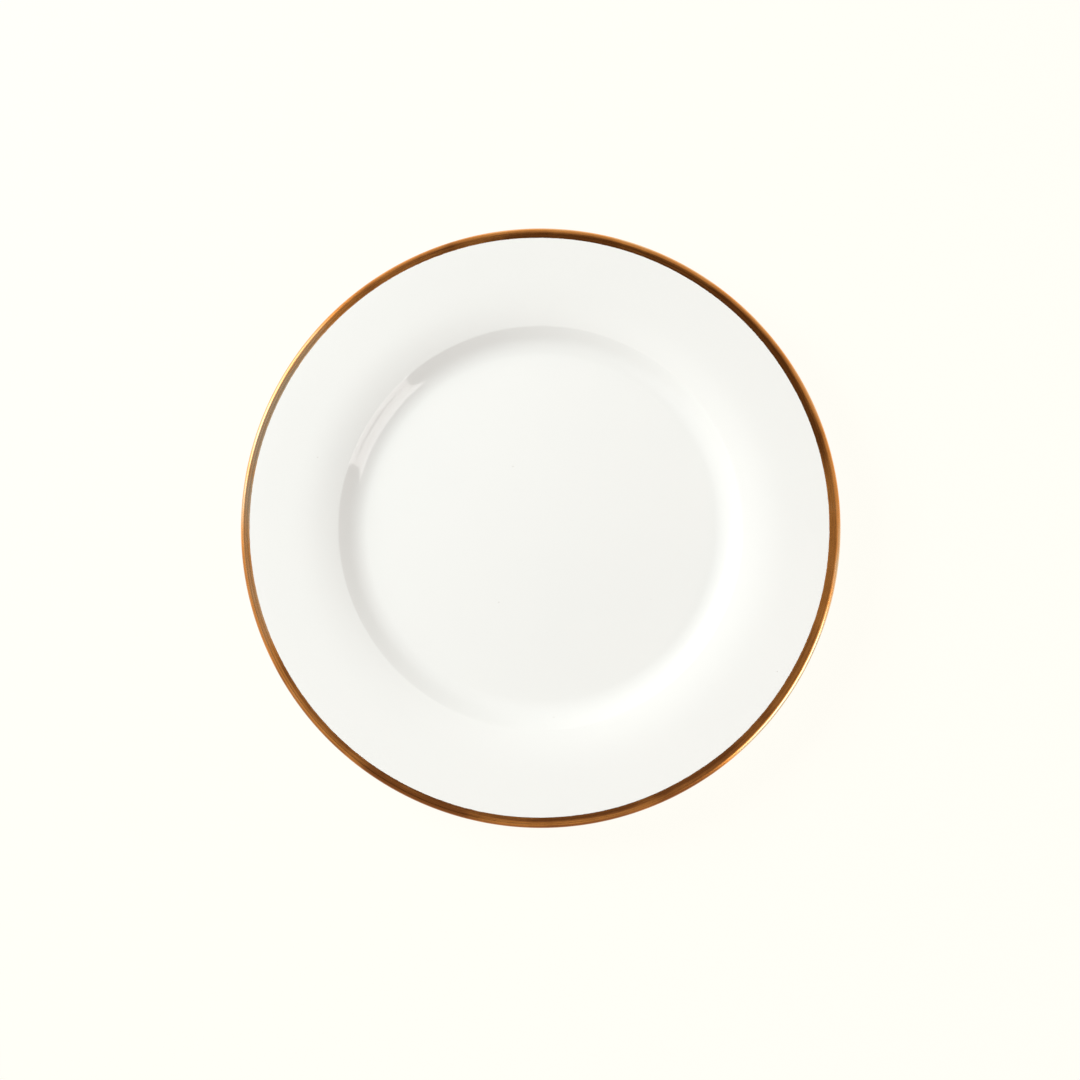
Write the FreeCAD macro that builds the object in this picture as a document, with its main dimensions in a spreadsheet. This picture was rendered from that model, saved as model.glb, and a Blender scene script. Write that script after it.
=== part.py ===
"""China dinner plate: a porcelain body with a foot ring, its glaze, and a gold line round its lip."""

import FreeCAD, Part
import Sketcher
import math
import os

V = FreeCAD.Vector
UP = V(0, 0, 1)

# Driving dimensions: millimetres and degrees. Radii across the plate are from its centre line.
DIMENSIONS = [
    ("plate_radius", 135.0, "outside of the gilded lip"),
    ("plate_height", 20.5, "table to the top of the gilded lip"),
    ("glaze_thickness", 0.25, "coat of glaze on the body"),
    ("gold_thickness", 0.15, "gold on the glaze"),
    ("floor_radius", 78.4, "flat of the well"),
    ("floor_height", 5.75, "bare floor of the well above the table"),
    ("cove_radius", 14.5, "curve from the floor into the wall"),
    ("wall_angle", 38.0, "slope of the well's wall"),
    ("shoulder_radius", 3.0, "edge between the wall and the rim"),
    ("shoulder_reach", 91.9, "where the shoulder runs into the rim"),
    ("crown_radius", 78.0, "gentle crown of the rim beside the shoulder"),
    ("rim_angle", 8.0, "slope of the rim's face"),
    ("lip_radius", 1.7, "broad round of the bare lip, above its widest point"),
    ("lip_under_radius", 0.6, "tighter round below it"),
    ("back_angle", 10.4, "slope of the rim's back"),
    ("back_cove_radius", 11.5, "curve from the back into the foot"),
    ("foot_angle", 75.0, "slope of the foot's outer side"),
    ("foot_radius", 85.9, "outer edge of the strip that stands on the table"),
    ("foot_width", 2.4, "width of that strip"),
    ("foot_round", 0.7, "rounded edges of the foot"),
    ("foot_inner_angle", 65.0, "slope of the foot's inner side"),
    ("recess_cove_radius", 2.2, "curve from the foot into the recess"),
    ("recess_height", 2.5, "bare ceiling inside the foot above the table"),
    ("wipe_height", 0.6, "bare margin wiped up the foot"),
    ("gold_edge_radius", 130.2, "inner edge of the gold line"),
    ("gold_shift_x", -0.55, "the line was banded a little off centre"),
    ("gold_shift_y", 0.25, "the line was banded a little off centre"),
    ("gold_back_height", 17.3, "lower edge of the gold behind the lip"),
]

# Names for the points of a sketched edge and for a sketch's own axes.
START, END, CENTRE = 1, 2, 3
HORIZONTAL_AXIS, VERTICAL_AXIS = -1, -2


def makeSheet(doc):
    sheet = doc.addObject("Spreadsheet::Sheet", "dims")
    for row, (alias, value, note) in enumerate(DIMENSIONS, start=1):
        sheet.set(f"A{row}", alias)
        sheet.set(f"B{row}", str(value))
        sheet.set(f"C{row}", note)
        sheet.setAlias(f"B{row}", alias)
    doc.recompute()
    return sheet


def planeOf(body, role):
    return next(feature for feature in body.Origin.OriginFeatures if feature.Role == role)


def heading(degrees):
    angle = math.radians(degrees)
    return V(math.cos(angle), math.sin(angle), 0)


class Outline:
    """Rough chain of named lines and arcs, each tangent to the last. Constraints then pull it to size."""

    def __init__(self, sketch, start, degrees):
        self.sketch = sketch
        self.point = start
        self.degrees = degrees
        self.last = None
        self.edges = {}

    def add(self, name, edge, entry, way_out):
        index = self.sketch.addGeometry(edge, False)
        if self.last is not None:
            self.sketch.addConstraint(Sketcher.Constraint("Tangent", *self.last, index, entry))
        self.last = (index, way_out)
        self.edges[name] = index

    def line(self, name, length):
        start = self.point
        self.point = start + heading(self.degrees) * length
        self.add(name, Part.LineSegment(start, self.point), START, END)

    def arc(self, name, radius, degrees):
        """Turn to a new heading: anticlockwise if it is larger, clockwise if it is smaller."""
        turns_left = degrees > self.degrees
        side = 90 if turns_left else -90
        start = self.point
        centre = start + heading(self.degrees + side) * radius
        self.point = centre - heading(degrees + side) * radius
        self.degrees = degrees
        ends = (start, self.point) if turns_left else (self.point, start)
        angles = [math.atan2(end.y - centre.y, end.x - centre.x) for end in ends]
        way = (START, END) if turns_left else (END, START)
        self.add(name, Part.ArcOfCircle(Part.Circle(centre, UP, radius), *angles), *way)

    def close(self, name):
        """Run a straight edge from the last point back to the first edge's start."""
        first = self.sketch.Geometry[0].StartPoint
        index = self.sketch.addGeometry(Part.LineSegment(self.point, first), False)
        self.sketch.addConstraint(Sketcher.Constraint("Coincident", *self.last, index, START))
        self.sketch.addConstraint(Sketcher.Constraint("Coincident", index, END, 0, START))
        self.edges[name] = index


def roughSection(sketch, dims):
    """Half of the bare body's section: out along the face, round the lip and in along the back and foot."""
    outline = Outline(sketch, V(0, dims.floor_height, 0), 0)
    outline.line("floor", dims.floor_radius)
    outline.arc("cove", dims.cove_radius, dims.wall_angle)
    outline.line("wall", 4.84)
    outline.arc("shoulder", dims.shoulder_radius, 21.3)
    outline.arc("crown", dims.crown_radius, dims.rim_angle)
    outline.line("rim", 23.5)
    outline.arc("lip", dims.lip_radius, -90)
    outline.arc("lip_under", dims.lip_under_radius, dims.back_angle - 180)
    outline.line("back", 38.7)
    outline.arc("back_cove", dims.back_cove_radius, dims.foot_angle - 180)
    outline.line("foot_side", 1.9)
    outline.arc("foot_outer_round", dims.foot_round, -180)
    outline.line("strip", dims.foot_width)
    outline.arc("foot_inner_round", dims.foot_round, -180 - dims.foot_inner_angle)
    outline.line("foot_inner_side", 0.9)
    outline.arc("recess_cove", dims.recess_cove_radius, -180)
    outline.line("ceiling", outline.point.x)
    outline.close("centre_line")
    return outline.edges


def sizeSection(sketch, edges):
    """Pull the rough section to the sheet's sizes, so that nothing in it is left free to move."""

    def fix(kind, *where):
        sketch.addConstraint(Sketcher.Constraint(kind, *where))

    def size(formula, kind, *where):
        value = sketch.evalExpression(formula)
        index = sketch.addConstraint(Sketcher.Constraint(kind, *where, value))
        sketch.setExpression(f"Constraints[{index}]", formula)

    for name in ("floor", "strip", "ceiling"):
        fix("Horizontal", edges[name])
    for end in (START, END):
        fix("PointOnObject", edges["centre_line"], end, VERTICAL_AXIS)
    fix("PointOnObject", edges["strip"], START, HORIZONTAL_AXIS)
    fix("Equal", edges["foot_outer_round"], edges["foot_inner_round"])
    fix("Horizontal", edges["lip"], CENTRE, edges["lip_under"], CENTRE)

    size("dims.floor_height", "DistanceY", edges["floor"], END)
    size("dims.recess_height", "DistanceY", edges["ceiling"], START)
    size("dims.floor_radius", "DistanceX", edges["floor"], END)
    size("dims.shoulder_reach", "DistanceX", edges["shoulder"], START)
    size("dims.foot_radius", "DistanceX", edges["strip"], START)
    size("dims.foot_width", "DistanceX", edges["strip"], END, edges["strip"], START)

    lip_and_coats = "(dims.lip_radius + dims.glaze_thickness + dims.gold_thickness)"
    size(f"dims.plate_radius - {lip_and_coats}", "DistanceX", edges["lip"], CENTRE)
    size(f"dims.plate_height - {lip_and_coats}", "DistanceY", edges["lip"], CENTRE)

    for name in ("cove", "shoulder", "crown", "lip", "lip_under", "back_cove", "recess_cove"):
        size(f"dims.{name}_radius", "Radius", edges[name])
    size("dims.foot_round", "Radius", edges["foot_outer_round"])

    size("dims.wall_angle * 1 deg", "Angle", edges["wall"])
    size("dims.rim_angle * 1 deg", "Angle", edges["rim"])
    size("(dims.back_angle - 180) * 1 deg", "Angle", edges["back"])
    size("(dims.foot_angle - 180) * 1 deg", "Angle", edges["foot_side"])
    size("(180 - dims.foot_inner_angle) * 1 deg", "Angle", edges["foot_inner_side"])


def makeBody(doc, dims):
    """The fired porcelain, foot ring included: one turned section."""
    body = doc.addObject("PartDesign::Body", "porcelain_body")
    section = body.newObject("Sketcher::SketchObject", "plate_section")
    section.AttachmentSupport = (planeOf(body, "XZ_Plane"), "")
    section.MapMode = "FlatFace"
    sizeSection(section, roughSection(section, dims))
    turned = body.newObject("PartDesign::Revolution", "turned_plate")
    turned.Profile = section
    turned.ReferenceAxis = (section, ["V_Axis"])
    turned.Angle = 360
    doc.recompute()
    return body


def grow(doc, name, source, formula):
    """The source's surface moved out all over, as a dipped or brushed coat moves it."""
    grown = doc.addObject("Part::Offset", name)
    grown.Source = source
    grown.Mode = "Skin"
    grown.Join = "Arc"
    grown.setExpression("Value", formula)
    return grown


def combine(doc, kind, name, base, tool):
    result = doc.addObject(f"Part::{kind}", name)
    result.Base = base
    result.Tool = tool
    return result


def cylinder(doc, name, radius, bottom, top):
    drum = doc.addObject("Part::Cylinder", name)
    drum.setExpression("Radius", radius)
    drum.setExpression("Height", f"{top} - {bottom}")
    drum.setExpression("Placement.Base.z", bottom)
    return drum


def makeGlaze(doc, body, glazed):
    """Dip the body, wipe the strip it stands on, and part the coat inside the foot from the rest."""
    dipped = combine(doc, "Cut", "dipped_coat", glazed, body)
    below = "-dims.glaze_thickness * 2"
    wiped_zone = cylinder(doc, "wiped_zone", "dims.plate_radius", below, "dims.wipe_height")
    wiped = combine(doc, "Cut", "wiped_coat", dipped, wiped_zone)
    recess_radius = "dims.foot_radius - dims.foot_width / 2"
    middle = "(dims.recess_height + dims.floor_height) / 2"
    recess_zone = cylinder(doc, "recess_zone", recess_radius, "0", middle)
    coat = combine(doc, "Cut", "glaze_coat", wiped, recess_zone)
    recess_coat = combine(doc, "Common", "foot_recess_glaze", wiped, recess_zone)
    return coat, recess_coat


def makeGoldBand(doc, body, glazed):
    """Gold brushed over the lip: its inner edge is round but off centre, its back edge is level."""
    gilded = grow(doc, "gilded_form", body, "dims.glaze_thickness + dims.gold_thickness")
    film = combine(doc, "Cut", "gold_film", gilded, glazed)
    beyond = "dims.plate_radius + dims.lip_radius"
    above = "dims.plate_height + dims.lip_radius"
    brushed = cylinder(doc, "brushed_zone", beyond, "dims.gold_back_height", above)
    masked = cylinder(doc, "masked_zone", "dims.gold_edge_radius", "0", above)
    masked.setExpression("Placement.Base.x", "dims.gold_shift_x")
    masked.setExpression("Placement.Base.y", "dims.gold_shift_y")
    ring = combine(doc, "Cut", "gold_zone", brushed, masked)
    return combine(doc, "Common", "gold_rim_band", film, ring)


def checkAndWrite(doc, pieces):
    faults = [item.Label for item in doc.Objects if {"Invalid", "Error"} & set(item.State)]
    faults += [piece.Label for piece in pieces if piece.Shape.isNull() or not piece.Shape.isValid()]
    if faults:
        raise RuntimeError(f"not written, these objects failed: {faults}")
    os.makedirs("parts", exist_ok=True)
    for piece in pieces:
        piece.Shape.exportStep(f"parts/{piece.Label}.step")
        print(f"{piece.Label}: {len(piece.Shape.Solids)} solid, {piece.Shape.Volume:.0f} mm3")


def main():
    doc = FreeCAD.newDocument("dinner_plate")
    dims = makeSheet(doc)
    body = makeBody(doc, dims)
    glazed = grow(doc, "glazed_form", body, "dims.glaze_thickness")
    coat, recess_coat = makeGlaze(doc, body, glazed)
    gold = makeGoldBand(doc, body, glazed)
    doc.recompute()
    checkAndWrite(doc, [body, coat, recess_coat, gold])


main()
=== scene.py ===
import math

import bpy
import numpy as np
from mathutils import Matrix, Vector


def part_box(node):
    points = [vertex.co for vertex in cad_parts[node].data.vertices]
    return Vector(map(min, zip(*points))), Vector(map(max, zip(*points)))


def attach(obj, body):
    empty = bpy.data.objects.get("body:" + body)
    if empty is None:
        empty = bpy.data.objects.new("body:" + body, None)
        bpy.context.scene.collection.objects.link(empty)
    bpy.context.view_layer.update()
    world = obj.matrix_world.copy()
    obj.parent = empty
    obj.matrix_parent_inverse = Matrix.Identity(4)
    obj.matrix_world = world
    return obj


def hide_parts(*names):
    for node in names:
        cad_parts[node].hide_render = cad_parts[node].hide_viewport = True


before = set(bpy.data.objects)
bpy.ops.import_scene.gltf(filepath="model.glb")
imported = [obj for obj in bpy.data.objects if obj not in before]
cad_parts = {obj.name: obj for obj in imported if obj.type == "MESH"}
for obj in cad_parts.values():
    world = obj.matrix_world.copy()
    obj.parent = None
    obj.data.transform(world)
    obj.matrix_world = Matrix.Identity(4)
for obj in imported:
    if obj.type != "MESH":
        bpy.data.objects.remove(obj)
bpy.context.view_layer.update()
print("frame loaded:", sorted(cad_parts))

mm = 0.001

# The bare body in mm and degrees. Radii across the plate are from its middle, heights from the table.
plateShape = {
    "floorRadius": 78.4,          # flat of the well
    "floorHeight": 5.75,
    "coveRadius": 14.5,           # floor of the well into its wall
    "wallAngle": 38.0,
    "shoulderRadius": 3.0,
    "crownAngle": 21.3,           # slope where the shoulder runs into the rim's crown
    "crownRadius": 78.0,
    "rimAngle": 8.0,
    "lipReach": 134.6,            # where the lip is widest
    "lipHeight": 18.4,
    "lipRadius": 1.7,             # above its widest point
    "lipUnderRadius": 0.6,        # below it
    "backAngle": 10.4,
    "backCoveRadius": 11.5,       # back into the foot
    "footAngle": 75.0,
    "footRadius": 85.9,           # outer edge of the strip that it stands on
    "footWidth": 2.4,
    "footRound": 0.7,
    "footInnerAngle": 65.0,
    "recessCoveRadius": 2.2,      # foot into the recess
    "recessHeight": 2.5,
    "wipedHeight": 0.6,           # glaze is wiped off the foot below this
    "warp": 0.09,                 # how far the lip moved in the kiln
    "warpReach": 50,              # from the foot out to the lip
    "turns": 480,
}


def wayAlong(slope):
    return np.array([math.cos(math.radians(slope)), math.sin(math.radians(slope))])


def tangentLength(radius, turn):
    # From a corner to where its arc begins.
    return radius * math.tan(math.radians(turn) / 2)


def crossing(place, slope, otherPlace, otherSlope):
    # Where two straight lines meet, each given by a place on it and its slope.
    rows = np.column_stack([wayAlong(slope), -wayAlong(otherSlope)])
    reach = np.linalg.solve(rows, np.subtract(otherPlace, place))[0]
    return place + reach * wayAlong(slope)


def plateCorners(shape):
    # Corners of the half section (across, up, rounding), out along the face from the middle, round
    # the lip and back in under it. Each lies where two straight runs would meet, and each run is
    # placed by the arc that it is tangent to.
    wallFoot = np.array([
        shape["floorRadius"] + tangentLength(shape["coveRadius"], shape["wallAngle"]), shape["floorHeight"]])
    lipMiddle = np.array([shape["lipReach"] - shape["lipRadius"], shape["lipHeight"]])
    onRim = lipMiddle + shape["lipRadius"] * wayAlong(shape["rimAngle"] + 90)
    underMiddle = np.array([shape["lipReach"] - shape["lipUnderRadius"], shape["lipHeight"]])
    onBack = underMiddle + shape["lipUnderRadius"] * wayAlong(shape["backAngle"] - 90)
    lipTop = crossing(onRim, shape["rimAngle"], (shape["lipReach"], 0), 90)
    lipUnder = crossing(onBack, shape["backAngle"], (shape["lipReach"], 0), 90)

    # the shoulder's arc ends where the crown's begins, so the run between their corners is all tangent
    between = wayAlong(shape["crownAngle"]) * (
        tangentLength(shape["shoulderRadius"], shape["wallAngle"] - shape["crownAngle"])
        + tangentLength(shape["crownRadius"], shape["crownAngle"] - shape["rimAngle"]))
    shoulder = crossing(wallFoot, shape["wallAngle"], onRim - between, shape["rimAngle"])
    crown = shoulder + between

    footOuter = (shape["footRadius"] + tangentLength(shape["footRound"], shape["footAngle"]), 0)
    footInner = (shape["footRadius"] - shape["footWidth"]
                 - tangentLength(shape["footRound"], shape["footInnerAngle"]), 0)
    backFoot = crossing(onBack, shape["backAngle"], footOuter, shape["footAngle"])
    recessEdge = crossing(np.array([0, shape["recessHeight"]]), 0, footInner, 180 - shape["footInnerAngle"])
    return [
        (0, shape["floorHeight"], 0),
        (*wallFoot, shape["coveRadius"]),
        (*shoulder, shape["shoulderRadius"]),
        (*crown, shape["crownRadius"]),
        (*lipTop, shape["lipRadius"]),
        (*lipUnder, shape["lipUnderRadius"]),
        (*backFoot, shape["backCoveRadius"]),
        (*footOuter, shape["footRound"]),
        (*footInner, shape["footRound"]),
        (*recessEdge, shape["recessCoveRadius"]),
        (0, shape["recessHeight"], 0),
    ]


def roundedOutline(corners, arcTurn, lineStep):
    # Straight runs, each corner replaced by the arc tangent to both of its runs.
    # Gives points, outward normals (the heading turned a quarter left), path length and heading.
    corners = np.array(corners, float)
    places, rounding = corners[:, :2], corners[:, 2]
    runs = np.diff(places, axis=0)
    headings = np.arctan2(runs[:, 1], runs[:, 0])
    points, angles = [], []
    start = places[0]
    heading = headings[0]
    for i, run in enumerate(runs):
        along = run / np.linalg.norm(run)
        turn = 0.0 if i == len(runs) - 1 else headings[i + 1] - headings[i]
        turn = (turn + math.pi) % (2 * math.pi) - math.pi
        end = places[i + 1] - along * rounding[i + 1] * math.tan(abs(turn) / 2)
        count = max(1, math.ceil(np.linalg.norm(end - start) / lineStep)) + 1
        points.append(start + np.linspace(0, 1, count)[:, None] * (end - start))
        angles.append(np.full(count, heading))
        if turn:
            side = math.copysign(rounding[i + 1], turn)
            centre = end + side * np.array([-along[1], along[0]])
            swept = heading + np.linspace(0, turn, max(4, math.ceil(abs(turn) / arcTurn)) + 1)[1:]
            points.append(centre + side * np.stack([np.sin(swept), -np.cos(swept)], axis=1))
            angles.append(swept)
            start = points[-1][-1]
            heading = swept[-1]
    points, angles = np.concatenate(points), np.concatenate(angles)
    moved = np.append(True, np.linalg.norm(np.diff(points, axis=0), axis=1) > 1e-6)
    points, angles = points[moved], angles[moved]
    path = np.append(0.0, np.cumsum(np.linalg.norm(np.diff(points, axis=0), axis=1)))
    return {
        "points": points,
        "normals": np.stack([-np.sin(angles), np.cos(angles)], axis=1),
        "path": path,
        "heading": angles,
    }


def alongOutline(outline, where):
    # Points and normals at any array of path lengths.
    def read(values):
        return np.stack([np.interp(where, outline["path"], values[:, k]) for k in (0, 1)], axis=-1)
    normals = read(outline["normals"])
    return read(outline["points"]), normals / np.linalg.norm(normals, axis=-1, keepdims=True)


def kilnWarp(across, angle):
    # The rim's slow rise and fall round the plate, growing with the square of the reach past the foot.
    footMiddle = plateShape["footRadius"] - plateShape["footWidth"] / 2
    reach = np.clip(across - footMiddle, 0, None) / plateShape["warpReach"]
    return plateShape["warp"] * reach ** 2 * (np.cos(2 * angle - 0.7) + 0.4 * np.cos(3 * angle + 1.9))


def turnedSurface(name, across, up, closedRing=False, attributes=None):
    # Every column is the section at one angle: x = across cos(angle), y = across sin(angle), z = up.
    # A section that starts and ends on the axis is closed there by one point each.
    columns, rows = across.shape
    angle = (np.arange(columns) * 2 * math.pi / columns)[:, None]
    up = up + kilnWarp(across, angle)
    grid = np.stack([across * np.cos(angle), across * np.sin(angle), up], axis=-1) * mm
    column = np.arange(columns)[:, None]
    beside = (column + 1) % columns
    row = np.arange(rows if closedRing else rows - 1)[None, :]
    above = (row + 1) % rows
    # every quad runs along the section first and then round, so that its front is outside
    quads = np.stack(np.broadcast_arrays(
        column * rows + row, column * rows + above, beside * rows + above, beside * rows + row), axis=-1)
    if closedRing:
        points, faces = grid.reshape(-1, 3), quads.reshape(-1, 4).tolist()
    else:
        inner = grid[:, 1:-1]
        poles = np.array([[0, 0, up[:, 0].mean() * mm], [0, 0, up[:, -1].mean() * mm]])
        points = np.concatenate([inner.reshape(-1, 3), poles])
        number = np.full((columns, rows), -1)
        number[:, 1:-1] = np.arange(columns * (rows - 2)).reshape(columns, -1)
        number[:, 0], number[:, -1] = len(points) - 2, len(points) - 1
        quads = number.reshape(-1)[quads]
        first = quads[:, 0][:, [0, 1, 2]]
        last = quads[:, -1][:, [0, 1, 3]]
        faces = quads[:, 1:-1].reshape(-1, 4).tolist() + first.tolist() + last.tolist()
    mesh = bpy.data.meshes.new(name)
    mesh.from_pydata(points.tolist(), [], faces)
    mesh.polygons.foreach_set("use_smooth", np.ones(len(mesh.polygons), dtype=bool))
    for key, values in (attributes or {}).items():
        values = np.broadcast_to(values, across.shape)
        if not closedRing:
            poleValues = [values[:, 0].mean(), values[:, -1].mean()]
            values = np.concatenate([values[:, 1:-1].reshape(-1), poleValues])
        layer = mesh.attributes.new(key, "FLOAT", "POINT")
        layer.data.foreach_set("value", np.ascontiguousarray(values, dtype=np.float32).reshape(-1))
    mesh.update()
    mesh.set_sharp_from_angle(angle=math.radians(50))
    piece = bpy.data.objects.new(name, mesh)
    bpy.context.scene.collection.objects.link(piece)
    return piece


outline = roundedOutline(plateCorners(plateShape), math.radians(5), 3.0)
fineOutline = roundedOutline(plateCorners(plateShape), math.radians(1), 0.25)
print("section drawn:", len(outline["path"]), "points")


def makeBody():
    across = np.broadcast_to(outline["points"][:, 0], (plateShape["turns"], len(outline["path"])))
    up = np.broadcast_to(outline["points"][:, 1], across.shape)
    return turnedSurface("porcelainBody", across, up)


glazeShape = {
    "thickness": 0.25,
    "gather": 1.1,        # thicker in hollows, thinner over edges, in mm for each 1/mm of curvature
    "spread": 2.5,        # how far along the surface that evens out, in mm
    "leastThickness": 0.12,
    "mostThickness": 0.40,
    "taper": 1.2,         # the glaze thins to nothing over this length at the wiped edge
}


def glazeThickness(where):
    # The coat gathers where the smoothed outline is hollow and thins where it is proud.
    path, heading = fineOutline["path"], np.unwrap(fineOutline["heading"])
    even = np.arange(path[0], path[-1], 0.1)
    curvature = np.gradient(np.interp(even, path, heading), even)
    reach = np.arange(-4 * glazeShape["spread"], 4 * glazeShape["spread"], 0.1)
    bell = np.exp(-0.5 * (reach / glazeShape["spread"]) ** 2)
    smooth = np.convolve(curvature, bell / bell.sum(), mode="same")
    thickness = glazeShape["thickness"] * (1 + glazeShape["gather"] * np.interp(where, even, smooth))
    return np.clip(thickness, glazeShape["leastThickness"], glazeShape["mostThickness"])


def wipedEdges():
    # Path lengths at which the outline passes the wiped height, outside the foot and inside it.
    points, path = fineOutline["points"], fineOutline["path"]
    low = np.where(points[:, 1] < plateShape["wipedHeight"])[0]
    return path[low[0]], path[low[-1]]


def coatSamples(first, last):
    # The outline's own points between two path lengths, closer together where it turns.
    inside = outline["path"][(outline["path"] > first) & (outline["path"] < last)]
    return np.concatenate([[first], inside, [last]])


def makeCoat(name, first, last, wipedEnd):
    # A closed skin: out along its free surface, back along the body.
    where = coatSamples(first, last)
    ends = glazeShape["taper"] * np.array([0.02, 0.08, 0.18, 0.35, 0.6, 1.0])
    where = np.sort(np.concatenate([where, wipedEnd + (ends if wipedEnd == first else -ends)]))
    points, normals = alongOutline(fineOutline, where)
    fade = np.clip(np.abs(where - wipedEnd) / glazeShape["taper"], 0, 1)
    thickness = glazeThickness(where) * np.sqrt(1 - (1 - fade) ** 2)
    free = points + normals * thickness[:, None]
    # the side against the body needs only every second row
    buried = np.append(np.arange(1, len(where) - 1, 2)[::-1], 0)
    if wipedEnd == last:
        loop, depth = np.concatenate([free, points[buried]]), np.append(thickness, thickness[buried])
    else:
        buried = len(where) - 1 - buried[::-1]
        loop, depth = np.concatenate([points[buried], free]), np.append(thickness[buried], thickness)
    across = np.broadcast_to(np.maximum(loop[:, 0], 0), (plateShape["turns"], len(loop)))
    up = np.broadcast_to(loop[:, 1], across.shape)
    return turnedSurface(name, across, up, attributes={"glazeDepth": depth / glazeShape["thickness"]})


outerWipe, innerWipe = wipedEdges()

goldShape = {
    "edgeRadius": 130.2,      # inner edge of the line on the face
    "offCentre": (-0.55, 0.25),
    "edgeWobble": 0.15,
    "underReach": 1.3,        # how far it goes under the lip, past its widest point
    "underWobble": 0.25,
    "thickness": 0.05,
    "ridge": 0.018,           # brush ridges in it
    "ridges": 3.2,            # how many of them lie across the line
    "sunk": 0.01,             # how deep its underside lies in the glaze
    "columns": 1440,
    "rows": 40,
    "buriedRows": 14,
    "seed": 11,
    "strokeParts": [0.22, 0.42, 0.62, 0.70, 0.82],     # inner, middle, outer, outer still, under
    "underShare": 0.25,       # how much of the outer amount is left under the lip
    # where the brush left more or less gold, and painted reflections: dark ones as deeper gold, highlights
    # as paler gold. Angle and half width in degrees, then how much deeper (or, below nothing, paler) the
    # gold is at the inner edge, in the middle and outside
    "strokes": [
        # painted dark reflection at the inner edge at 36 and 80, and at the outer edge from 193 to 302;
        # painted highlight at 159 (the key's reflection) and at 325 and 353 (the softbox's reflection)
        (36, 24, 1.3, 0.7, -0.3),
        (80, 22, 1.2, 0.6, -0.4),
        (119, 15, 0.5, 0.6, 0.1),
        (159, 24, -1.0, -0.7, -0.7),
        (193, 11, -0.4, -0.4, 0.6),
        (218, 13, 0.7, -0.2, 0.9),
        (245, 13, 1.0, 1.2, 1.2),
        (275, 17, 1.0, -0.1, 1.0),
        (302, 10, 1.0, 0.5, 1.1),
        (325, 18, 0.6, 0.5, -1.7),
        (353, 9, 0.2, 0.2, -0.8),
    ],
}


def brushNoise(count, lowest, highest, seed):
    # Smooth random ripple that closes on itself: a sum of sines with falling strength.
    draw = np.random.default_rng(seed)
    waves = np.arange(lowest, highest)
    strength = draw.normal(size=len(waves)) / np.sqrt(waves)
    phase = draw.uniform(0, 2 * math.pi, len(waves))
    turn = np.arange(count) * 2 * math.pi / count
    ripple = (strength[:, None] * np.sin(waves[:, None] * turn + phase[:, None])).sum(axis=0)
    return ripple / np.abs(ripple).max()


def goldDepthAndReflection(turn, part):
    # Above nothing where the gold lies thick and where a dark reflection is painted in, below where it is
    # thin and where a highlight is painted in: every stroke fades out either side of its middle, and its
    # three amounts are blended across the line, most of the last one ending where the lip turns under.
    depth = np.zeros((len(turn), len(part)))
    for angle, halfWidth, *amounts in goldShape["strokes"]:
        away = (np.degrees(turn) - angle + 180) % 360 - 180
        inner, middle, outer = amounts
        along = [inner, middle, outer, outer, goldShape["underShare"] * outer]
        across = np.interp(part, goldShape["strokeParts"], along)
        depth += np.exp(-(np.abs(away) / halfWidth)[:, None] ** 6) * across[None, :]
    return depth


def makeGold():
    shape = goldShape
    count = shape["columns"]
    turn = np.arange(count) * 2 * math.pi / count
    shiftX, shiftY = shape["offCentre"]
    edge = shape["edgeRadius"] + shiftX * np.cos(turn) + shiftY * np.sin(turn)
    edge += shape["edgeWobble"] * (0.6 * brushNoise(count, 3, 20, shape["seed"])
                                   + 0.4 * brushNoise(count, 60, 240, shape["seed"] + 1))
    points, path = fineOutline["points"], fineOutline["path"]
    face = slice(0, int(np.argmax(points[:, 0])) + 1)
    start = np.interp(edge, points[face, 0], path[face])
    widest = path[int(np.argmax(points[:, 0]))]
    stop = widest + shape["underReach"] + shape["underWobble"] * brushNoise(count, 2, 40, shape["seed"] + 2)
    part = np.append(np.linspace(0, 1, shape["rows"]), np.linspace(1, 0, shape["buriedRows"]))
    where = start[:, None] + (stop - start)[:, None] * part[None, :]
    place, normal = alongOutline(fineOutline, where)
    fade = np.clip(1 - np.abs(2 * part - 1) ** 10, 0, 1) ** 0.5     # to nothing at both edges
    wander = 0.8 * brushNoise(count, 1, 9, shape["seed"] + 3)[:, None]
    ridges = np.sin(part * 2 * math.pi * shape["ridges"] + wander)
    film = (shape["thickness"] + shape["ridge"] * ridges) * fade
    film[:, shape["rows"]:] = -shape["sunk"]
    loop = place + normal * (glazeThickness(where) + film)[..., None]
    return turnedSurface("goldRimBand", loop[..., 0], loop[..., 1], closedRing=True,
                         attributes={"acrossBand": part, "goldDepthAndReflection": goldDepthAndReflection(turn, part)})


def socketGroup(name, inputs, outputs):
    group = bpy.data.node_groups.new(name, "ShaderNodeTree")
    for label, kind, value in inputs:
        socket = group.interface.new_socket(name=label, in_out="INPUT", socket_type=kind)
        if value is not None:
            socket.default_value = value
    for label, kind in outputs:
        group.interface.new_socket(name=label, in_out="OUTPUT", socket_type=kind)
    return group, group.nodes.new("NodeGroupInput"), group.nodes.new("NodeGroupOutput")


def addNode(tree, kind, **settings):
    node = tree.nodes.new(kind)
    for key, value in settings.items():
        setattr(node, key, value)
    return node


def mathNode(tree, operation, first, second=None, third=None, clamp=False):
    node = addNode(tree, "ShaderNodeMath", operation=operation, use_clamp=clamp)
    for socket, value in zip(node.inputs, (first, second, third)):
        if value is None:
            continue
        if isinstance(value, bpy.types.NodeSocket):
            tree.links.new(value, socket)
        else:
            socket.default_value = value
    return node.outputs[0]


def mixColour(tree, amount, first, second):
    node = addNode(tree, "ShaderNodeMix", data_type="RGBA")
    for socket, value in ((node.inputs[0], amount), (node.inputs[6], first), (node.inputs[7], second)):
        if isinstance(value, bpy.types.NodeSocket):
            tree.links.new(value, socket)
        else:
            socket.default_value = value
    return node.outputs[2]


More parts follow.
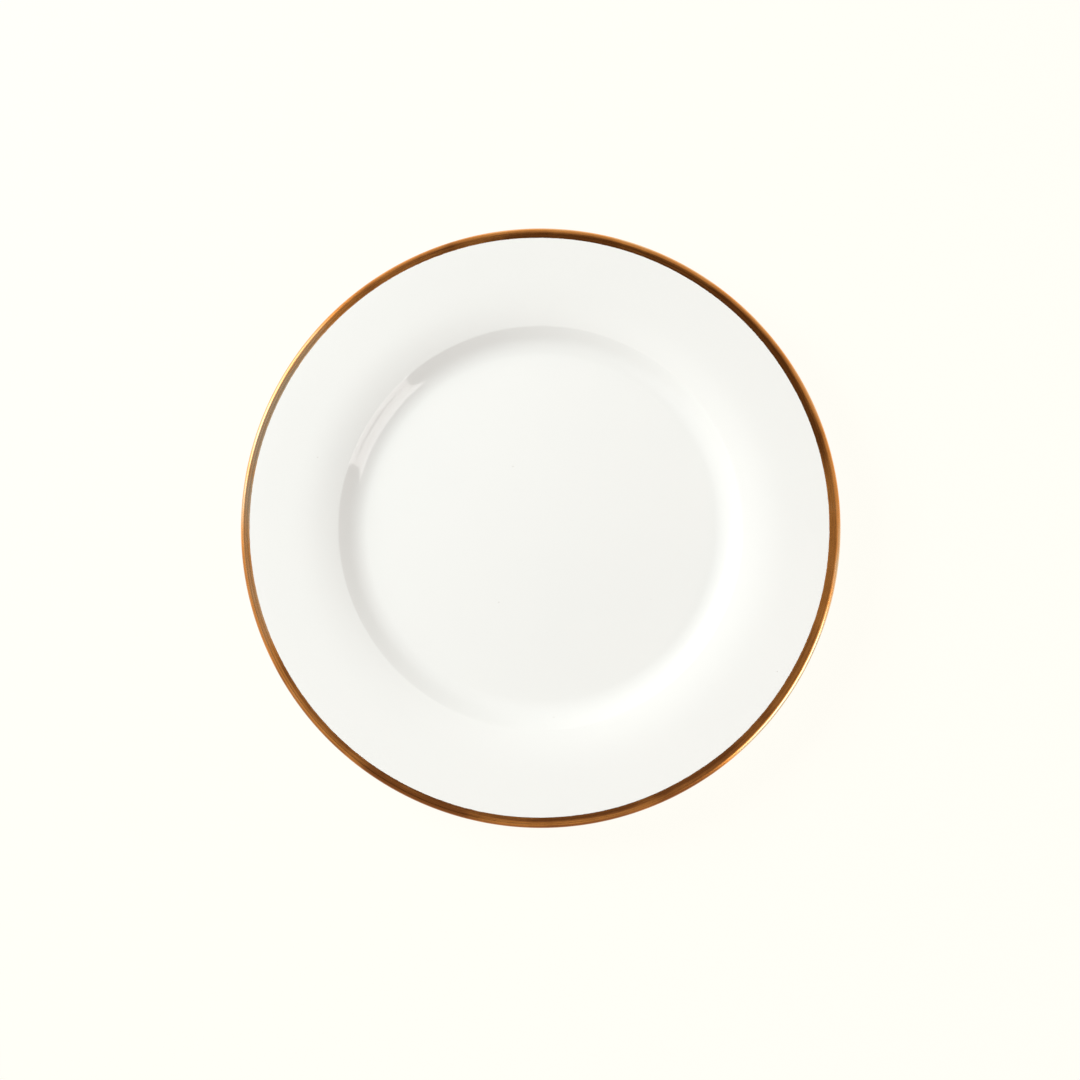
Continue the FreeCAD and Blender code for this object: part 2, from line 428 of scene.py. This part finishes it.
def noiseNode(tree, place, scale, detail=2.0, roughness=0.5):
    node = addNode(tree, "ShaderNodeTexNoise", noise_dimensions="3D")
    tree.links.new(place, node.inputs["Vector"])
    if isinstance(scale, bpy.types.NodeSocket):
        tree.links.new(scale, node.inputs["Scale"])
    else:
        node.inputs["Scale"].default_value = scale
    node.inputs["Detail"].default_value = detail
    node.inputs["Roughness"].default_value = roughness
    return node.outputs["Fac"]


def makeFiredSurface():
    # Height of a fired surface: slow ripple plus fine orange peel.
    group, given, result = socketGroup("firedSurface", [
        ("Place", "NodeSocketVector", None), ("Ripple Scale", "NodeSocketFloat", 40.0),
        ("Peel Scale", "NodeSocketFloat", 400.0), ("Peel Share", "NodeSocketFloat", 0.3),
    ], [("Height", "NodeSocketFloat")])
    ripple = noiseNode(group, given.outputs["Place"], given.outputs["Ripple Scale"], 1.0)
    peel = noiseNode(group, given.outputs["Place"], given.outputs["Peel Scale"], 2.0)
    share = mathNode(group, "MULTIPLY", peel, given.outputs["Peel Share"])
    group.links.new(mathNode(group, "ADD", ripple, share), result.inputs["Height"])
    return group


def makeSpecks():
    # Mask of small round specks: the middles of scattered cells, kept where a noise is high.
    group, given, result = socketGroup("specks", [
        ("Place", "NodeSocketVector", None), ("Scale", "NodeSocketFloat", 300.0),
        ("Size", "NodeSocketFloat", 0.12), ("Rarity", "NodeSocketFloat", 0.6),
    ], [("Mask", "NodeSocketFloat")])
    cells = addNode(group, "ShaderNodeTexVoronoi", feature="F1")
    group.links.new(given.outputs["Place"], cells.inputs["Vector"])
    group.links.new(given.outputs["Scale"], cells.inputs["Scale"])
    near = mathNode(group, "LESS_THAN", cells.outputs["Distance"], given.outputs["Size"])
    split = addNode(group, "ShaderNodeSeparateColor")
    group.links.new(cells.outputs["Color"], split.inputs[0])
    kept = mathNode(group, "GREATER_THAN", split.outputs[0], given.outputs["Rarity"])
    group.links.new(mathNode(group, "MULTIPLY", near, kept), result.inputs["Mask"])
    return group


def makeTurnedLines():
    # Fine lines that run round the plate: noise squeezed across the radius and height.
    group, given, result = socketGroup("turnedLines", [
        ("Place", "NodeSocketVector", None), ("Lines", "NodeSocketFloat", 3000.0),
        ("Length", "NodeSocketFloat", 8.0),
    ], [("Streak", "NodeSocketFloat")])
    split = addNode(group, "ShaderNodeSeparateXYZ")
    group.links.new(given.outputs["Place"], split.inputs[0])
    x, y, z = split.outputs
    radius = mathNode(group, "SQRT", mathNode(
        group, "ADD", mathNode(group, "MULTIPLY", x, x), mathNode(group, "MULTIPLY", y, y)))
    safe = mathNode(group, "MAXIMUM", radius, 0.001)
    joined = addNode(group, "ShaderNodeCombineXYZ")
    around = (mathNode(group, "DIVIDE", x, safe), mathNode(group, "DIVIDE", y, safe))
    for socket, value in zip(joined.inputs, around):
        group.links.new(mathNode(group, "MULTIPLY", value, given.outputs["Length"]), socket)
    outward = mathNode(group, "SUBTRACT", radius, z)
    group.links.new(mathNode(group, "MULTIPLY", outward, given.outputs["Lines"]), joined.inputs[2])
    streak = noiseNode(group, joined.outputs[0], 1.0, 3.0, 0.6)
    group.links.new(streak, result.inputs["Streak"])
    return group


def newMaterial(name, settings):
    material = bpy.data.materials.new(name)
    material.use_nodes = True
    tree = material.node_tree
    shader = tree.nodes["Principled BSDF"]
    for key, value in settings.items():
        shader.inputs[key].default_value = value
    place = addNode(tree, "ShaderNodeTexCoord").outputs["Object"]
    return material, tree, shader, place


def useGroup(tree, group, place, values):
    node = addNode(tree, "ShaderNodeGroup", node_tree=group)
    tree.links.new(place, node.inputs["Place"])
    for key, value in values.items():
        node.inputs[key].default_value = value
    return node.outputs[0]


def addBump(tree, shader, height, strength, distance):
    bump = addNode(tree, "ShaderNodeBump")
    bump.inputs["Strength"].default_value = strength
    bump.inputs["Distance"].default_value = distance
    tree.links.new(height, bump.inputs["Height"])
    tree.links.new(bump.outputs["Normal"], shader.inputs["Normal"])


glazeLook = {
    "thin": (0.872, 0.880, 0.864, 1),
    "thick": (0.828, 0.845, 0.840, 1),
    "speck": (0.50, 0.47, 0.42, 1),
    "specks": {"Scale": 160.0, "Size": 0.03, "Rarity": 0.93},
    "roughness": 0.05,
    "drift": 18.0,                     # scale of the slow change of tone
    "haze": 60.0,                      # scale of the change of gloss
    "surface": {"Ripple Scale": 45.0, "Peel Scale": 420.0, "Peel Share": 0.06},
    "relief": 0.00004,                 # height of that surface, in metres
}


def glazeMaterial(groups):
    material, tree, shader, place = newMaterial("whiteGlaze", {"IOR": 1.52, "Specular IOR Level": 0.5})
    depth = addNode(tree, "ShaderNodeAttribute", attribute_name="glazeDepth").outputs["Fac"]
    pooled = mathNode(tree, "MULTIPLY_ADD", depth, 2.5, -2.5, clamp=True)     # deeper than usual
    drift = noiseNode(tree, place, glazeLook["drift"], 2.0)
    tone = mathNode(tree, "ADD", pooled, mathNode(tree, "MULTIPLY_ADD", drift, 0.8, -0.4), clamp=True)
    colour = mixColour(tree, tone, glazeLook["thin"], glazeLook["thick"])
    mask = useGroup(tree, groups["specks"], place, glazeLook["specks"])
    tree.links.new(mixColour(tree, mask, colour, glazeLook["speck"]), shader.inputs["Base Color"])
    haze = noiseNode(tree, place, glazeLook["haze"], 4.0)
    rough = mathNode(tree, "MULTIPLY_ADD", haze, 0.05, glazeLook["roughness"] - 0.02)
    tree.links.new(rough, shader.inputs["Roughness"])
    height = useGroup(tree, groups["firedSurface"], place, glazeLook["surface"])
    addBump(tree, shader, height, 0.5, glazeLook["relief"])
    return material


bareLook = {
    "clay": (0.80, 0.765, 0.70, 1),
    "clayDark": (0.70, 0.66, 0.59, 1),
    "scuff": (0.33, 0.31, 0.29, 1),
    "scuffs": {"Lines": 1800.0, "Length": 60.0},
    "specks": {"Scale": 700.0, "Size": 0.16, "Rarity": 0.9},
    "roughness": 0.62,
    "grain": 900.0,
    "surface": {"Ripple Scale": 700.0, "Peel Scale": 3500.0, "Peel Share": 0.8},
    "relief": 0.00012,
}


def bareMaterial(groups):
    material, tree, shader, place = newMaterial("barePorcelain", {"IOR": 1.5, "Specular IOR Level": 0.3})
    grain = noiseNode(tree, place, bareLook["grain"], 4.0, 0.7)
    colour = mixColour(tree, grain, bareLook["clay"], bareLook["clayDark"])
    streak = useGroup(tree, groups["turnedLines"], place, bareLook["scuffs"])
    worn = mathNode(tree, "MULTIPLY_ADD", streak, 6.0, -3.6, clamp=True)
    colour = mixColour(tree, mathNode(tree, "MULTIPLY", worn, 0.35), colour, bareLook["scuff"])
    mask = useGroup(tree, groups["specks"], place, bareLook["specks"])
    tree.links.new(mixColour(tree, mask, colour, bareLook["scuff"]), shader.inputs["Base Color"])
    rough = mathNode(tree, "MULTIPLY_ADD", grain, 0.2, bareLook["roughness"] - 0.1)
    tree.links.new(rough, shader.inputs["Roughness"])
    height = useGroup(tree, groups["firedSurface"], place, bareLook["surface"])
    addBump(tree, shader, height, 0.6, bareLook["relief"])
    return material


goldLook = {
    "pale": (0.92, 0.62, 0.34, 1),
    "plain": (0.93, 0.37, 0.080, 1),
    "deep": (0.34, 0.110, 0.020, 1),
    "worn": (0.74, 0.58, 0.41, 1),     # palest and greyest gold: painted highlight where the softbox's reflection lies, and very thin gold elsewhere
    "bead": (0.20, 0.09, 0.03, 1),     # the fine dark line where the gold dried at its inner edge, darkest where a dark reflection is painted there
    "roughness": 0.24,
    "gloss": {"Coat Weight": 0.2, "Coat IOR": 1.7, "Coat Roughness": 0.12},
    "strokes": {"Lines": 2600.0, "Length": 5.0},
    "hairs": {"Lines": 9000.0, "Length": 26.0},
    "drift": 45.0,
    "relief": 0.00003,
}


def goldMaterial(groups):
    material, tree, shader, place = newMaterial("firedGold", {"Metallic": 1.0, **goldLook["gloss"]})
    streak = useGroup(tree, groups["turnedLines"], place, goldLook["strokes"])
    fine = useGroup(tree, groups["turnedLines"], place, goldLook["hairs"])
    drift = noiseNode(tree, place, goldLook["drift"], 4.0, 0.6)
    depth = addNode(tree, "ShaderNodeAttribute", attribute_name="goldDepthAndReflection").outputs["Fac"]
    part = addNode(tree, "ShaderNodeAttribute", attribute_name="acrossBand").outputs["Fac"]
    patchy = mathNode(tree, "ADD", mathNode(tree, "MULTIPLY_ADD", streak, 1.5, -0.75),
                      mathNode(tree, "MULTIPLY_ADD", drift, 1.6, -0.8))
    tone = mathNode(tree, "ADD", depth, patchy)
    # deeper gold where it lies thick, and the painted dark reflections that the strokes table puts in
    colour = mixColour(tree, mathNode(tree, "MAXIMUM", tone, 0.0), goldLook["plain"], goldLook["deep"])
    # paler where the gold is thin, and painted highlight where the key's and the softbox's reflections lie
    thin = mathNode(tree, "MULTIPLY_ADD", tone, -1.0, -0.05, clamp=True)
    colour = mixColour(tree, thin, colour, goldLook["pale"])
    # palest of all: painted highlight where the softbox's reflection lies
    thinnestAndHighlight = mathNode(tree, "MULTIPLY_ADD", tone, -1.6, -1.2, clamp=True)
    colour = mixColour(tree, thinnestAndHighlight, colour, goldLook["worn"])
    bead = mathNode(tree, "MULTIPLY_ADD", part, -14.0, 0.8, clamp=True)
    # the dark line follows the gold's depth, so it is darkest where the dark reflection is painted at the
    # inner edge
    wet = mathNode(tree, "MULTIPLY_ADD", depth, 0.9, 0.35, clamp=True)
    colour = mixColour(tree, mathNode(tree, "MULTIPLY", bead, wet), colour, goldLook["bead"])
    tree.links.new(colour, shader.inputs["Base Color"])
    rough = mathNode(tree, "MULTIPLY_ADD", fine, 0.22, goldLook["roughness"] - 0.08)
    tree.links.new(rough, shader.inputs["Roughness"])
    height = mathNode(tree, "ADD", streak, mathNode(tree, "MULTIPLY", fine, 0.4))
    addBump(tree, shader, height, 0.5, goldLook["relief"])
    return material


def finishPiece(piece, material, node):
    piece.data.materials.append(material)
    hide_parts(node)
    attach(piece, "root")
    print("made", piece.name, len(piece.data.polygons), "faces")


groups = {"firedSurface": makeFiredSurface(), "specks": makeSpecks(), "turnedLines": makeTurnedLines()}
whiteGlaze, barePorcelain, firedGold = glazeMaterial(groups), bareMaterial(groups), goldMaterial(groups)

finishPiece(makeBody(), barePorcelain, "porcelain_body")
finishPiece(makeCoat("glazeCoat", 0.0, outerWipe, outerWipe), whiteGlaze, "glaze_coat")
recessEnd = fineOutline["path"][-1]
finishPiece(makeCoat("footRecessGlaze", innerWipe, recessEnd, innerWipe),
            whiteGlaze, "foot_recess_glaze")
finishPiece(makeGold(), firedGold, "gold_rim_band")


stageLook = {
    "floorColour": (1.0, 0.984, 0.918),
    "floorGlow": 0.95,      # the part of its brightness that no shadow takes away
    "floorPaint": 0.065,
    "floorRadius": 6.0,
    "ambient": 0.56,
    "ambientColour": (1.0, 0.945, 0.91, 1),
    # patches of the studio's sky: azimuth and height of the middle, inner and outer half angle,
    # all in degrees, then how much light they add or take away
    "patches": [
        (0, 90, 14, 34, -0.16),
        (235, 79, 7, 15, -0.34),
        (270, 26, 20, 50, -0.05),
        (345, 77, 4, 14, 0.12),
        (155, 20, 11, 25, 2.4),
    ],
}


def directionOf(azimuth, height):
    a, h = math.radians(azimuth), math.radians(height)
    return (math.cos(a) * math.cos(h), math.sin(a) * math.cos(h), math.sin(h))


def makeStage():
    count = 96
    turn = np.arange(count) * 2 * math.pi / count
    points = np.stack([np.cos(turn), np.sin(turn), 0 * turn], axis=1) * stageLook["floorRadius"]
    mesh = bpy.data.meshes.new("floor")
    mesh.from_pydata(points.tolist(), [], [list(range(count))])
    floor = bpy.data.objects.new("floor", mesh)
    bpy.context.scene.collection.objects.link(floor)
    material = bpy.data.materials.new("paleFloor")
    material.use_nodes = True
    shader = material.node_tree.nodes["Principled BSDF"]
    colour = stageLook["floorColour"]
    shader.inputs["Base Color"].default_value = tuple(c * stageLook["floorPaint"] for c in colour) + (1,)
    shader.inputs["Roughness"].default_value = 1.0
    shader.inputs["Specular IOR Level"].default_value = 0.0
    shader.inputs["Emission Color"].default_value = colour + (1,)
    shader.inputs["Emission Strength"].default_value = stageLook["floorGlow"]
    mesh.materials.append(material)


def makeSky():
    # Even light with soft panels and dark patches, each a smooth step of the angle from its middle.
    world = bpy.data.worlds.new("studio")
    bpy.context.scene.world = world
    world.use_nodes = True
    tree = world.node_tree
    tree.nodes.clear()
    place = addNode(tree, "ShaderNodeTexCoord").outputs["Generated"]
    light = stageLook["ambient"]
    for azimuth, height, inner, outer, strength in stageLook["patches"]:
        towards = addNode(tree, "ShaderNodeVectorMath", operation="DOT_PRODUCT")
        tree.links.new(place, towards.inputs[0])
        towards.inputs[1].default_value = directionOf(azimuth, height)
        step = addNode(tree, "ShaderNodeMapRange", interpolation_type="SMOOTHSTEP")
        tree.links.new(towards.outputs["Value"], step.inputs["Value"])
        step.inputs["From Min"].default_value = math.cos(math.radians(outer))
        step.inputs["From Max"].default_value = math.cos(math.radians(inner))
        step.inputs["To Max"].default_value = strength
        light = mathNode(tree, "ADD", step.outputs["Result"], light)
    light = mathNode(tree, "MAXIMUM", light, 0.02)
    studio = addNode(tree, "ShaderNodeBackground")
    tree.links.new(light, studio.inputs["Strength"])
    studio.inputs["Color"].default_value = stageLook["ambientColour"]
    backdrop = addNode(tree, "ShaderNodeBackground")
    backdrop.inputs["Color"].default_value = stageLook["floorColour"] + (1,)
    seen = addNode(tree, "ShaderNodeLightPath").outputs["Is Camera Ray"]
    mix = addNode(tree, "ShaderNodeMixShader")
    tree.links.new(seen, mix.inputs[0])
    tree.links.new(studio.outputs[0], mix.inputs[1])
    tree.links.new(backdrop.outputs[0], mix.inputs[2])
    out = addNode(tree, "ShaderNodeOutputWorld")
    tree.links.new(mix.outputs[0], out.inputs["Surface"])


lamps = {
    # azimuth and height in degrees, distance, width and length in metres, brightness, colour
    "softbox": (327, 33.2, 1.6, 0.78, 0.70, 3.5, (1.0, 0.97, 0.94)),
    "keyPanel": (151, 36, 1.0, 0.50, 0.50, 9.1, (0.94, 1.0, 0.985)),
}


def makeLamps():
    for name, (azimuth, height, distance, width, length, brightness, colour) in lamps.items():
        lamp = bpy.data.lights.new(name, "AREA")
        lamp.shape = "RECTANGLE"
        lamp.size, lamp.size_y = width, length
        lamp.energy = brightness * math.pi * width * length
        lamp.color = colour
        holder = bpy.data.objects.new(name, lamp)
        bpy.context.scene.collection.objects.link(holder)
        holder.location = [distance * v for v in directionOf(azimuth, height)]
        holder.rotation_euler = (math.radians(90 - height), 0, math.radians(azimuth + 90))
        holder.visible_camera = False
        holder.visible_glossy = name != "keyPanel"     # its reflection is the sky's soft patch


view = {
    "lens": 85.0,
    "sensor": 36.0,
    "plateShare": 0.5571,   # the plate's width as a part of the frame's
    "across": 0.0007,       # where the plate's middle lies off the frame's, in frames
    "up": 0.0109,
}


def makeCamera():
    data = bpy.data.cameras.new("camera")
    data.lens, data.sensor_width = view["lens"], view["sensor"]
    low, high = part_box("gold_rim_band")
    frameWidth = (high[0] - low[0]) / view["plateShare"]
    camera = bpy.data.objects.new("camera", data)
    bpy.context.scene.collection.objects.link(camera)
    distance = frameWidth * view["lens"] / view["sensor"]
    camera.location = (-view["across"] * frameWidth, -view["up"] * frameWidth, high[2] + distance)
    data.clip_start, data.clip_end = 0.05, 50
    bpy.context.scene.camera = camera


makeStage()
makeSky()
makeLamps()
makeCamera()
bpy.context.scene.view_settings.view_transform = "Standard"
print("stage, lamps and camera set")
